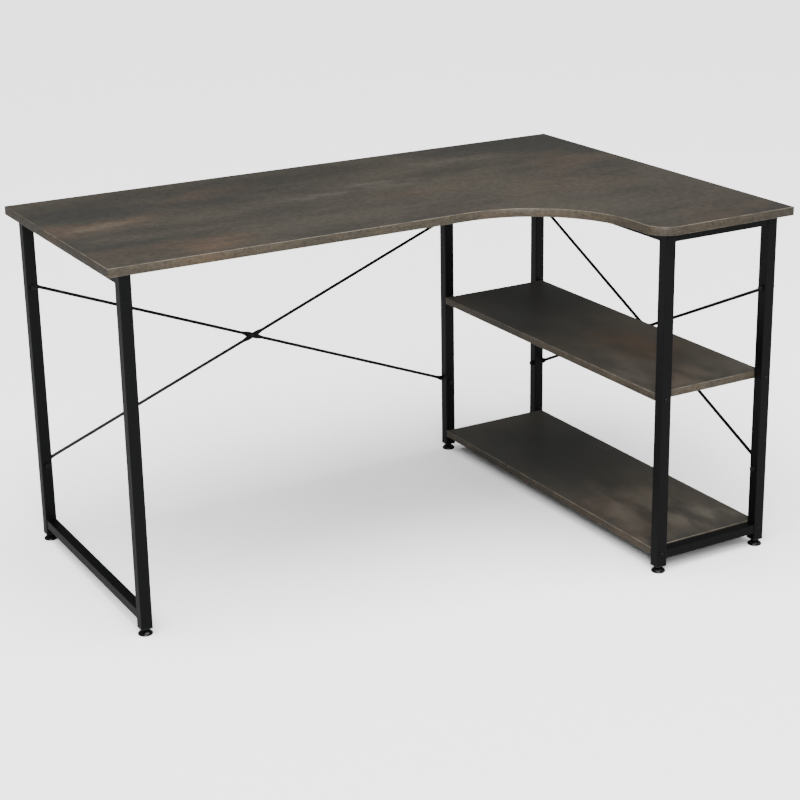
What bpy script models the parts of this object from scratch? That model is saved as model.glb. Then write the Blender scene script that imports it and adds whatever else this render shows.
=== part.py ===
"""Corner desk: an L-shaped board on a left leg frame and a two-shelf unit, with X-braces.

Metres, +Z up, +X along the long side to the right, +Y towards the back. The origin is on the
floor, under the middle of the desktop's length and depth. Each sub-part is one named object.
"""

import math

import bmesh
import bpy
from mathutils import Vector

# ---------------------------------------------------------------- driving dimensions, metres

# Desktop
WIDTH = 1.35
MAIN_DEPTH = 0.58
RETURN_DEPTH = 0.90
HEIGHT = 0.75
TOP_THICKNESS = 0.018
INNER_RADIUS = 0.24
END_RADIUS = 0.05

# Where the posts stand under the desktop, from its edges to the posts' outer faces
LEFT_INSET = 0.024
RIGHT_INSET = 0.019
BACK_INSET = 0.009
MAIN_FRONT_INSET = 0.008
RETURN_FRONT_INSET = 0.026
INNER_OVERHANG = 0.038

# Steel frame
POST_SIZE = 0.024
RAIL_SIZE = 0.021
TUBE_WALL = 0.0012
TUBE_CORNER = 0.0018
POST_BOTTOM = 0.017
BOTTOM_RAIL_UNDERSIDE = 0.0295
UNIT_WIDTH = 0.284

# Shelves
SHELF_THICKNESS = 0.016
UPPER_SHELF_UNDERSIDE = 0.3757
LOWER_SHELF_UNDERSIDE = 0.0357
SHELF_BRACE_CLEARANCE = 0.001
SHELF_SCREW_RISE = 0.0065
SHELF_SCREW_DIAMETER = 0.005
SHELF_SCREW_GRIP = 0.028
SHELF_SCREW_HEAD = (0.0045, 0.0020)

# X-braces
BRACE_HIGH = 0.577
BRACE_LOW = 0.176
ROD_DIAMETER = 0.007
FLAT_THICKNESS = 0.002
FLAT_WIDTH = 0.012
FLAT_END = 0.0075
FLAT_LENGTH = 0.013
FLAT_TAPER = 0.012
CROSS_FLAT_HALF = 0.013

# Brace bolts and nuts: diameter, then head (radius, height), then nut (radius, height)
BOLT_DIAMETER = 0.006
BOLT_HEAD = (0.0060, 0.0042)
BOLT_NUT = (0.0064, 0.0056)
CROSS_BOLT_DIAMETER = 0.005
CROSS_HEAD = (0.0048, 0.0025)
CROSS_NUT = (0.0047, 0.0040)
THREAD_SHOWING = 0.0020
CROSS_THREAD_SHOWING = 0.0012

# End plugs and levelling feet
PLUG_DEPTH = 0.020
PLUG_FLANGE = 0.0025
PLUG_LIP = 0.0004
STUD_DIAMETER = 0.008
STUD_LENGTH = 0.021
NECK_RADIUS = 0.0065
NECK_HEIGHT = 0.0045
PAD_RADIUS = 0.0148
PAD_EDGE = 0.003

# Fits
GAP = 0.0003

# Facets
ARC_STEPS = 20
END_STEPS = 8
HOLE_SIDES = 12
LATHE_SIDES = 12
NUT_SIDES = 12
FOOT_SIDES = 18
CORNER_STEPS = 2
ROD_SIDES = 12

# ---------------------------------------------------------------- places worked out from them

LEFT = -WIDTH / 2
RIGHT = WIDTH / 2
BACK = RETURN_DEPTH / 2
FRONT = -RETURN_DEPTH / 2
MAIN_FRONT = BACK - MAIN_DEPTH
RETURN_LEFT = RIGHT - RIGHT_INSET - UNIT_WIDTH - INNER_OVERHANG
TOP_UNDERSIDE = HEIGHT - TOP_THICKNESS

FRAME_TOP = TOP_UNDERSIDE - GAP
FRAME_BACK = BACK - BACK_INSET
FRAME_LEFT = LEFT + LEFT_INSET
FRAME_FRONT = MAIN_FRONT + MAIN_FRONT_INSET
UNIT_RIGHT = RIGHT - RIGHT_INSET
UNIT_LEFT = UNIT_RIGHT - UNIT_WIDTH
UNIT_FRONT = FRONT + RETURN_FRONT_INSET
HALF_POST = POST_SIZE / 2

# Each post's centre in plan
POSTS = {
    "left_rear": (FRAME_LEFT + HALF_POST, FRAME_BACK - HALF_POST),
    "left_front": (FRAME_LEFT + HALF_POST, FRAME_FRONT + HALF_POST),
    "inner_rear": (UNIT_LEFT + HALF_POST, FRAME_BACK - HALF_POST),
    "outer_rear": (UNIT_RIGHT - HALF_POST, FRAME_BACK - HALF_POST),
    "inner_front": (UNIT_LEFT + HALF_POST, UNIT_FRONT + HALF_POST),
    "outer_front": (UNIT_RIGHT - HALF_POST, UNIT_FRONT + HALF_POST),
}

# Half of the flats' total thickness: how far one rod bows so that it passes the other
BOW = (FLAT_THICKNESS + GAP) / 2
ROD_OFFSET = GAP + FLAT_THICKNESS / 2
BRACE_REACH = max(BOW + CROSS_HEAD[1], BOW + ROD_DIAMETER / 2 - ROD_OFFSET)
SHELF_RIGHT = UNIT_RIGHT - BRACE_REACH - SHELF_BRACE_CLEARANCE

X_AXIS = Vector((1, 0, 0))
Y_AXIS = Vector((0, 1, 0))
Z_AXIS = Vector((0, 0, 1))

# ---------------------------------------------------------------- finishes

BOARD_BROWN = (0.070, 0.052, 0.042)
STEEL_BLACK = (0.012, 0.012, 0.013)
ZINC_BLACK = (0.030, 0.030, 0.032)
PLASTIC_BLACK = (0.010, 0.010, 0.011)


def clear_scene():
    """Removes every object that the file starts with."""
    for item in list(bpy.data.objects):
        bpy.data.objects.remove(item, do_unlink=True)


def finish(name, colour, roughness, metallic):
    """Makes one material with a Principled BSDF."""
    material = bpy.data.materials.new(name)
    material.use_nodes = True
    shader = material.node_tree.nodes["Principled BSDF"]
    shader.inputs["Base Color"].default_value = (*colour, 1.0)
    shader.inputs["Roughness"].default_value = roughness
    shader.inputs["Metallic"].default_value = metallic
    return material


def board(name):
    return finish(name + "_melamine", BOARD_BROWN, 0.45, 0.0)


def coated_steel(name):
    return finish(name + "_powder_coat", STEEL_BLACK, 0.5, 0.0)


def black_zinc(name):
    return finish(name + "_black_zinc", ZINC_BLACK, 0.35, 1.0)


def black_plastic(name):
    return finish(name + "_plastic", PLASTIC_BLACK, 0.3, 0.0)


# ---------------------------------------------------------------- mesh helpers


def add_object(name, mesh, material, location=(0, 0, 0), axis=Z_AXIS):
    """Puts a mesh in the scene, with its own Z along axis."""
    item = bpy.data.objects.new(name, mesh)
    mesh.materials.append(material)
    item.location = location
    item.rotation_euler = Z_AXIS.rotation_difference(Vector(axis)).to_euler()
    bpy.context.scene.collection.objects.link(item)
    return item


def mesh_from(name, points, faces, smooth=False):
    """A mesh with its faces pointing out."""
    mesh = bpy.data.meshes.new(name)
    mesh.from_pydata([tuple(point) for point in points], [], faces)
    form = bmesh.new()
    form.from_mesh(mesh)
    bmesh.ops.recalc_face_normals(form, faces=form.faces)
    form.to_mesh(mesh)
    form.free()
    if smooth:
        mesh.shade_smooth()
        mesh.set_sharp_from_angle(angle=math.radians(40))
    return mesh


def arc(centre, radius, start, end, steps):
    """Points on an arc in plan, from the start angle to the end angle in degrees."""
    points = []
    for step in range(steps + 1):
        turn = math.radians(start + (end - start) * step / steps)
        points.append((centre[0] + radius * math.cos(turn), centre[1] + radius * math.sin(turn)))
    return points


def rounded_square(size, radius):
    """The outline of a square with rounded corners, counter-clockwise."""
    inner = size / 2 - radius
    points = []
    for corner, (side_x, side_y) in enumerate(((1, 1), (-1, 1), (-1, -1), (1, -1))):
        centre = (side_x * inner, side_y * inner)
        points += arc(centre, radius, 90 * corner, 90 * corner + 90, CORNER_STEPS)
    return points


def prism(name, outline, low, high):
    """A solid from an outline in plan, between two heights."""
    count = len(outline)
    points = [(x, y, low) for x, y in outline] + [(x, y, high) for x, y in outline]
    faces = [tuple(range(count)), tuple(range(count, 2 * count))]
    for index in range(count):
        after = (index + 1) % count
        faces.append((index, after, count + after, count + index))
    return mesh_from(name, points, faces)


def square_tube(name, size, length):
    """An open-ended square tube along its own Z, from 0 to its length."""
    rings = []
    for outline, height in (
        (rounded_square(size, TUBE_CORNER), 0),
        (rounded_square(size, TUBE_CORNER), length),
        (rounded_square(size - 2 * TUBE_WALL, TUBE_CORNER - TUBE_WALL), length),
        (rounded_square(size - 2 * TUBE_WALL, TUBE_CORNER - TUBE_WALL), 0),
    ):
        rings.append([(x, y, height) for x, y in outline])
    count = len(rings[0])
    faces = []
    for ring in range(4):
        other = (ring + 1) % 4
        for index in range(count):
            after = (index + 1) % count
            faces.append(
                (ring * count + index, ring * count + after, other * count + after, other * count + index)
            )
    return mesh_from(name, [point for ring in rings for point in ring], faces, smooth=True)


def lathe(name, profile, sides):
    """A turned solid from (radius, height) points that start and end on the axis."""
    points = [(0, 0, profile[0][1])]
    for radius, height in profile[1:-1]:
        for side in range(sides):
            turn = 2 * math.pi * side / sides
            points.append((radius * math.cos(turn), radius * math.sin(turn), height))
    points.append((0, 0, profile[-1][1]))
    last = len(points) - 1
    rings = len(profile) - 2
    faces = []
    for side in range(sides):
        after = (side + 1) % sides
        faces.append((0, 1 + after, 1 + side))
        for ring in range(rings - 1):
            low = 1 + ring * sides
            high = low + sides
            faces.append((low + side, low + after, high + after, high + side))
        top = 1 + (rings - 1) * sides
        faces.append((top + side, top + after, last))
    return mesh_from(name, points, faces, smooth=True)


def drill(item, holes):
    """Cuts round holes, each given as (mouth, direction, depth, radius) in world places."""
    form = bmesh.new()
    for mouth, direction, depth, radius in holes:
        along = Vector(direction).normalized()
        turn = Z_AXIS.rotation_difference(along).to_matrix().to_4x4()
        made = bmesh.ops.create_cone(
            form,
            cap_ends=True,
            segments=HOLE_SIDES,
            radius1=radius,
            radius2=radius,
            depth=depth,
            matrix=turn,
        )
        bmesh.ops.translate(form, verts=made["verts"], vec=Vector(mouth) + along * depth / 2)
    mesh = bpy.data.meshes.new(item.name + "_cutter")
    form.to_mesh(mesh)
    form.free()
    cutter = bpy.data.objects.new(item.name + "_cutter", mesh)
    cutter.hide_render = True
    cutter.display_type = "WIRE"
    bpy.context.scene.collection.objects.link(cutter)
    cut = item.modifiers.new("holes", "BOOLEAN")
    cut.operation = "DIFFERENCE"
    cut.solver = "EXACT"
    cut.object = cutter


def through(centre, direction, radius):
    """A hole right through a post, with a little to spare at each face."""
    along = Vector(direction)
    return (Vector(centre) - along * POST_SIZE, along, 2 * POST_SIZE, radius)


# ---------------------------------------------------------------- boards


def make_desktop():
    """The L-shaped board: a concave sweep in front and a rounded end on the return."""
    room = RETURN_DEPTH - MAIN_DEPTH - END_RADIUS
    radius = min(INNER_RADIUS, room)
    outline = [(LEFT, BACK), (LEFT, MAIN_FRONT)]
    outline += arc((RETURN_LEFT - radius, MAIN_FRONT - radius), radius, 90, 0, ARC_STEPS)
    outline += arc((RETURN_LEFT + END_RADIUS, FRONT + END_RADIUS), END_RADIUS, 180, 270, END_STEPS)
    outline += [(RIGHT, FRONT), (RIGHT, BACK)]
    mesh = prism("desktop", outline, TOP_UNDERSIDE, HEIGHT)
    add_object("desktop", mesh, board("desktop"))


def shelf_screw_places(underside):
    """Each shelf screw: its post, the post's outer face there, and the way it points."""
    height = underside + SHELF_SCREW_RISE
    places = []
    for station in ("inner_rear", "outer_rear", "inner_front", "outer_front"):
        x, y = POSTS[station]
        inward = -Y_AXIS if station.endswith("rear") else Y_AXIS
        places.append((station, Vector((x, y, height)) - inward * HALF_POST, inward))
    return places


def make_shelf(name, underside):
    """A board held between the front and rear posts by a long screw through each."""
    low_y = UNIT_FRONT + POST_SIZE + GAP
    high_y = FRAME_BACK - POST_SIZE - GAP
    outline = [(UNIT_LEFT, high_y), (UNIT_LEFT, low_y), (SHELF_RIGHT, low_y), (SHELF_RIGHT, high_y)]
    mesh = prism(name, outline, underside, underside + SHELF_THICKNESS)
    shelf = add_object(name, mesh, board(name))
    radius = SHELF_SCREW_DIAMETER / 2 + GAP
    holes = []
    for station, face, inward in shelf_screw_places(underside):
        depth = POST_SIZE + GAP + SHELF_SCREW_GRIP + GAP
        holes.append((face, inward, depth, radius))
        head = SHELF_SCREW_HEAD
        make_bolt(
            f"{name}_screw_{station}",
            face - inward * GAP,
            -inward,
            SHELF_SCREW_DIAMETER,
            GAP + POST_SIZE + GAP + SHELF_SCREW_GRIP,
            head,
        )
    drill(shelf, holes)


# ---------------------------------------------------------------- steel frame


def brace_bolt_places():
    """Each brace bolt: name, the centre of its post at that height, and the outward way."""
    places = {}
    for level, height in (("high", BRACE_HIGH), ("low", BRACE_LOW)):
        for side, station in (("left", "left_rear"), ("right", "inner_rear")):
            places[f"rear_brace_{side}_{level}"] = (station, height, Y_AXIS)
        for side, station in (("rear", "outer_rear"), ("front", "outer_front")):
            places[f"side_brace_{side}_{level}"] = (station, height, X_AXIS)
    return places


def make_posts():
    """Six upright tubes, drilled for the brace bolts and the shelf screws."""
    holes = {station: [] for station in POSTS}
    for station, height, outward in brace_bolt_places().values():
        centre = (*POSTS[station], height)
        holes[station].append(through(centre, outward, BOLT_DIAMETER / 2 + GAP))
    for underside in (UPPER_SHELF_UNDERSIDE, LOWER_SHELF_UNDERSIDE):
        for station, face, inward in shelf_screw_places(underside):
            centre = face + inward * HALF_POST
            holes[station].append(through(centre, inward, SHELF_SCREW_DIAMETER / 2 + GAP))
    for station, (x, y) in POSTS.items():
        name = "post_" + station
        mesh = square_tube(name, POST_SIZE, FRAME_TOP - POST_BOTTOM)
        post = add_object(name, mesh, coated_steel(name), (x, y, POST_BOTTOM))
        if holes[station]:
            drill(post, holes[station])


def make_rail(name, first, second, underside):
    """A tube between two posts' facing sides, a hair short of each."""
    start = Vector((*POSTS[first], underside + RAIL_SIZE / 2))
    end = Vector((*POSTS[second], underside + RAIL_SIZE / 2))
    along = (end - start).normalized()
    start += along * (HALF_POST + GAP)
    end -= along * (HALF_POST + GAP)
    mesh = square_tube(name, RAIL_SIZE, (end - start).length)
    add_object(name, mesh, coated_steel(name), start, along)


def make_rails():
    """The top rails carry the desktop; the bottom ones tie each open frame's feet."""
    top = FRAME_TOP - RAIL_SIZE
    make_rail("rail_left_top", "left_front", "left_rear", top)
    make_rail("rail_left_bottom", "left_front", "left_rear", BOTTOM_RAIL_UNDERSIDE)
    make_rail("rail_unit_inner_top", "inner_front", "inner_rear", top)
    make_rail("rail_unit_outer_top", "outer_front", "outer_rear", top)
    make_rail("rail_unit_rear_top", "inner_rear", "outer_rear", top)
    make_rail("rail_unit_front_top", "inner_front", "outer_front", top)
    make_rail("rail_unit_front_bottom", "inner_front", "outer_front", BOTTOM_RAIL_UNDERSIDE)


# ---------------------------------------------------------------- fasteners


def make_bolt(name, seat, outward, diameter, grip, head):
    """A button-headed bolt: seat is under its head, and its shank runs the other way."""
    radius = diameter / 2
    head_radius, head_height = head
    profile = [
        (0, -grip),
        (radius * 0.8, -grip),
        (radius, -grip + radius * 0.2),
        (radius, 0),
        (head_radius, 0),
        (head_radius, head_height * 0.35),
        (head_radius * 0.78, head_height * 0.8),
        (head_radius * 0.4, head_height),
        (0, head_height),
    ]
    mesh = lathe(name, profile, LATHE_SIDES)
    add_object(name, mesh, black_zinc(name), seat, outward)


def make_nut(name, seat, outward, bolt_diameter, nut):
    """A hexagon nut whose seat face is at seat and whose own Z points outward."""
    corner_radius, height = nut
    flat_radius = corner_radius * math.cos(math.pi / 6)
    bore = bolt_diameter / 2 + GAP
    points = []
    for corner, flat, level in (
        (corner_radius, flat_radius, 0),
        (corner_radius, flat_radius, height * 0.8),
        (flat_radius, flat_radius, height),
        (bore, bore, height),
        (bore, bore, 0),
    ):
        for side in range(NUT_SIDES):
            turn = 2 * math.pi * side / NUT_SIDES
            radius = corner if side % 2 == 0 else flat
            points.append((radius * math.cos(turn), radius * math.sin(turn), level))
    rings = len(points) // NUT_SIDES
    faces = []
    for ring in range(rings):
        low = ring * NUT_SIDES
        high = (ring + 1) % rings * NUT_SIDES
        for side in range(NUT_SIDES):
            after = (side + 1) % NUT_SIDES
            faces.append((low + side, low + after, high + after, high + side))
    mesh = mesh_from(name, points, faces)
    add_object(name, mesh, black_zinc(name), seat, outward)


def make_brace_fasteners():
    """A bolt through each rod end and its post, with a nut on the post's far face."""
    for name, (station, height, outward) in brace_bolt_places().items():
        centre = Vector((*POSTS[station], height))
        head_seat = centre + outward * (HALF_POST + 2 * GAP + FLAT_THICKNESS + GAP)
        nut_seat = centre - outward * (HALF_POST + GAP)
        grip = (head_seat - nut_seat).length + BOLT_NUT[1] + THREAD_SHOWING
        make_bolt(name + "_bolt", head_seat, outward, BOLT_DIAMETER, grip, BOLT_HEAD)
        make_nut(name + "_nut", nut_seat, -outward, BOLT_DIAMETER, BOLT_NUT)


# ---------------------------------------------------------------- braces


def rod_section(flat, width_share):
    """A section across the rod, blended from round (flat 0) to flattened (flat 1)."""
    points = []
    for side in range(ROD_SIDES):
        turn = 2 * math.pi * (side + 0.5) / ROD_SIDES
        round_across = ROD_DIAMETER / 2 * math.cos(turn)
        round_out = ROD_DIAMETER / 2 * math.sin(turn)
        edge = math.cos(math.pi / ROD_SIDES)
        flat_across = FLAT_WIDTH / 2 * math.cos(turn) / edge
        flat_out = FLAT_THICKNESS / 2 * max(-1, min(1, math.sin(turn) / math.sin(math.pi / 4)))
        across = (round_across + (flat_across - round_across) * flat) * width_share
        out = round_out + (flat_out - round_out) * flat
        points.append((across, out))
    return points


def rod_stations(half):
    """Half of a rod, from its tip to its middle: (distance from the middle, flat, width share)."""
    tip = half + FLAT_END
    stations = [
        (tip, 1, 0.45),
        (tip - 0.0008, 1, 0.74),
        (tip - 0.0030, 1, 0.96),
        (tip - 0.0055, 1, 1),
        (half - FLAT_LENGTH, 1, 1),
        (half - FLAT_LENGTH - FLAT_TAPER * 0.5, 0.5, 1),
        (half - FLAT_LENGTH - FLAT_TAPER, 0, 1),
        (CROSS_FLAT_HALF + FLAT_TAPER, 0, 1),
        (CROSS_FLAT_HALF + FLAT_TAPER * 0.5, 0.5, 1),
        (CROSS_FLAT_HALF, 1, 1),
    ]
    return stations


def make_rod(name, start, end, outward, bow):
    """A brace rod between two bolt centres, flattened at its ends and its middle."""
    start, end = Vector(start), Vector(end)
    along = (end - start).normalized()
    across = outward.cross(along)
    middle = (start + end) / 2
    half = (end - start).length / 2
    near = rod_stations(half)
    stations = [(-distance, flat, share) for distance, flat, share in near]
    stations += [(distance, flat, share) for distance, flat, share in reversed(near)]
    straight = half - FLAT_LENGTH - CROSS_FLAT_HALF
    points = []
    for distance, flat, share in stations:
        run = min(1, max(0, (abs(distance) - CROSS_FLAT_HALF) / straight))
        lift = bow * (1 - run)
        for side, out in rod_section(flat, share):
            points.append(middle + along * distance + across * side + outward * (out + lift))
    faces = [tuple(range(ROD_SIDES))]
    for ring in range(len(stations) - 1):
        low = ring * ROD_SIDES
        high = low + ROD_SIDES
        for side in range(ROD_SIDES):
            after = (side + 1) % ROD_SIDES
            faces.append((low + side, low + after, high + after, high + side))
    last = (len(stations) - 1) * ROD_SIDES
    faces.append(tuple(range(last, last + ROD_SIDES)))
    mesh = mesh_from(name, [point - middle for point in points], faces, smooth=True)
    rod = add_object(name, mesh, coated_steel(name), middle)
    reach = 4 * FLAT_THICKNESS
    holes = []
    for place, diameter in (
        (start, BOLT_DIAMETER),
        (end, BOLT_DIAMETER),
        (middle + outward * bow, CROSS_BOLT_DIAMETER),
    ):
        holes.append((place - outward * reach, outward, 2 * reach, diameter / 2 + GAP))
    drill(rod, holes)


def make_brace(name, first, second, outward):
    """Two crossed rods on the outer faces of two posts, bolted where they cross."""
    lift = outward * (HALF_POST + ROD_OFFSET)
    first_centre = Vector((*POSTS[first], 0)) + lift
    second_centre = Vector((*POSTS[second], 0)) + lift
    high = Z_AXIS * BRACE_HIGH
    low = Z_AXIS * BRACE_LOW
    make_rod(name + "_rod_a", first_centre + high, second_centre + low, outward, BOW)
    make_rod(name + "_rod_b", first_centre + low, second_centre + high, outward, -BOW)
    crossing = (first_centre + second_centre + high + low) / 2
    stack = BOW + FLAT_THICKNESS / 2 + GAP
    head_seat = crossing - outward * stack
    nut_seat = crossing + outward * stack
    grip = 2 * stack + CROSS_NUT[1] + CROSS_THREAD_SHOWING
    make_bolt(name + "_cross_bolt", head_seat, -outward, CROSS_BOLT_DIAMETER, grip, CROSS_HEAD)
    make_nut(name + "_cross_nut", nut_seat, outward, CROSS_BOLT_DIAMETER, CROSS_NUT)


# ---------------------------------------------------------------- plugs and levelling feet


def make_plug(station):
    """A plastic end plug: a body inside the post, a flange under it and a threaded bore."""
    name = "plug_" + station
    inside = POST_SIZE - 2 * TUBE_WALL - 2 * GAP
    corner = TUBE_CORNER - TUBE_WALL
    flange_top = POST_BOTTOM - GAP
    flange_outline = rounded_square(POST_SIZE + 2 * PLUG_LIP, TUBE_CORNER + PLUG_LIP)
    body_outline = rounded_square(inside, corner)
    rings = [
        [(x, y, flange_top - PLUG_FLANGE) for x, y in flange_outline],
        [(x, y, flange_top) for x, y in flange_outline],
        [(x, y, flange_top) for x, y in body_outline],
        [(x, y, flange_top + PLUG_DEPTH) for x, y in body_outline],
    ]
    count = len(flange_outline)
    faces = [tuple(range(count)), tuple(range(3 * count, 4 * count))]
    for ring in range(3):
        for index in range(count):
            after = (index + 1) % count
            low = ring * count
            faces.append((low + index, low + after, low + count + after, low + count + index))
    mesh = mesh_from(name, [point for ring in rings for point in ring], faces)
    x, y = POSTS[station]
    plug = add_object(name, mesh, black_plastic(name), (x, y, 0))
    depth = PLUG_FLANGE + PLUG_DEPTH + 0.004
    mouth = (x, y, flange_top - PLUG_FLANGE - 0.002)
    drill(plug, [(mouth, Z_AXIS, depth, STUD_DIAMETER / 2 + GAP)])


def make_foot(station):
    """A levelling foot, screwed fully in: a domed pad, a neck and a stud up into the plug."""
    name = "foot_" + station
    neck_top = POST_BOTTOM - 2 * GAP - PLUG_FLANGE
    neck_bottom = neck_top - NECK_HEIGHT
    stud = STUD_DIAMETER / 2
    dome = neck_bottom - PAD_EDGE
    profile = [
        (0, 0),
        (PAD_RADIUS * 0.93, 0),
        (PAD_RADIUS, PAD_EDGE * 0.35),
        (PAD_RADIUS, PAD_EDGE * 0.8),
        (PAD_RADIUS * 0.93, PAD_EDGE),
        (PAD_RADIUS * 0.68, PAD_EDGE + dome * 0.62),
        (NECK_RADIUS, neck_bottom),
        (NECK_RADIUS, neck_top),
        (stud, neck_top),
        (stud, neck_top + STUD_LENGTH),
        (0, neck_top + STUD_LENGTH),
    ]
    mesh = lathe(name, profile, FOOT_SIDES)
    x, y = POSTS[station]
    add_object(name, mesh, black_plastic(name), (x, y, 0))


def main():
    """Builds the whole desk."""
    clear_scene()
    make_desktop()
    make_shelf("upper_shelf", UPPER_SHELF_UNDERSIDE)
    make_shelf("lower_shelf", LOWER_SHELF_UNDERSIDE)
    make_posts()
    make_rails()
    make_brace("rear_brace", "left_rear", "inner_rear", Y_AXIS)
    make_brace("side_brace", "outer_rear", "outer_front", X_AXIS)
    make_brace_fasteners()
    for station in POSTS:
        make_plug(station)
        make_foot(station)


main()
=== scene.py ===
"""Looks of an L-shaped corner desk: laminate boards on a black square-tube frame.

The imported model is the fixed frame. The boards, their edge bands, the fasteners, the weld beads
and the levelling feet are made here at full detail, and the tubes, rods and end plugs keep their
CAD meshes and get their finishes here. Every length is in metres.
"""

import logging
import math
from dataclasses import dataclass
from enum import Enum
from functools import cached_property

import bmesh
import bpy
from mathutils import Matrix, Vector


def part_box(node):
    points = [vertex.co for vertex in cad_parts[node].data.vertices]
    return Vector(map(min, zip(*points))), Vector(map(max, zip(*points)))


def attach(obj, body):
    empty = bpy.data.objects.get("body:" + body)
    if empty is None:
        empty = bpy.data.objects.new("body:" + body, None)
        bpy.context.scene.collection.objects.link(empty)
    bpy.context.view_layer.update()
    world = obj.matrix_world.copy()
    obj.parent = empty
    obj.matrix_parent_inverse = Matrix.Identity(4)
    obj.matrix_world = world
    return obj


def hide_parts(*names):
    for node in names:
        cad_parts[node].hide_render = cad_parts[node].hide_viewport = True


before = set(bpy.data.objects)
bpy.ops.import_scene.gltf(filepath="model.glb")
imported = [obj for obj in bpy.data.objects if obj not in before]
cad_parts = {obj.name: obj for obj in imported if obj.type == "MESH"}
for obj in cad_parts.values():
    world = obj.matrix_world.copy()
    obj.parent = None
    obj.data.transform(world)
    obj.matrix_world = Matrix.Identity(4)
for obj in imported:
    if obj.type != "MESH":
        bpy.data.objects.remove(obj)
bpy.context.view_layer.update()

LOG = logging.getLogger("corner_desk")
MM = 0.001
SAME_PLACE = 1e-5
DESK = "desk"
CROSS_HALF_WIDTH = 0.27
TURNED_SHARP = math.radians(35)
TAPE_SHARP = math.radians(50)

Socket = bpy.types.NodeSocket
Feed = object


class Slot(Enum):
    """The record's material slots."""

    BOARD = "board"
    POWDER_COAT = "powder_coat"
    BLACK_ZINC = "black_zinc"
    BLACK_PLASTIC = "black_plastic"


class Station(Enum):
    """The six posts, by the corner that each stands at."""

    LEFT_REAR = "left_rear"
    LEFT_FRONT = "left_front"
    INNER_REAR = "inner_rear"
    OUTER_REAR = "outer_rear"
    INNER_FRONT = "inner_front"
    OUTER_FRONT = "outer_front"


class Section(Enum):
    """The shape of one ring of a turned piece."""

    ROUND = "round"
    HEXAGON = "hexagon"
    CROSS = "cross"


class CloudTone(Enum):
    """The three kinds of cloud on the boards: mostly print, while on the shelves the slate clouds
    also paint shade and the pale clouds paint light.
    """

    RUST = "Rust"
    PALE = "Pale"
    SLATE = "Slate"


# ---------------------------------------------------------------- node trees


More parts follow.
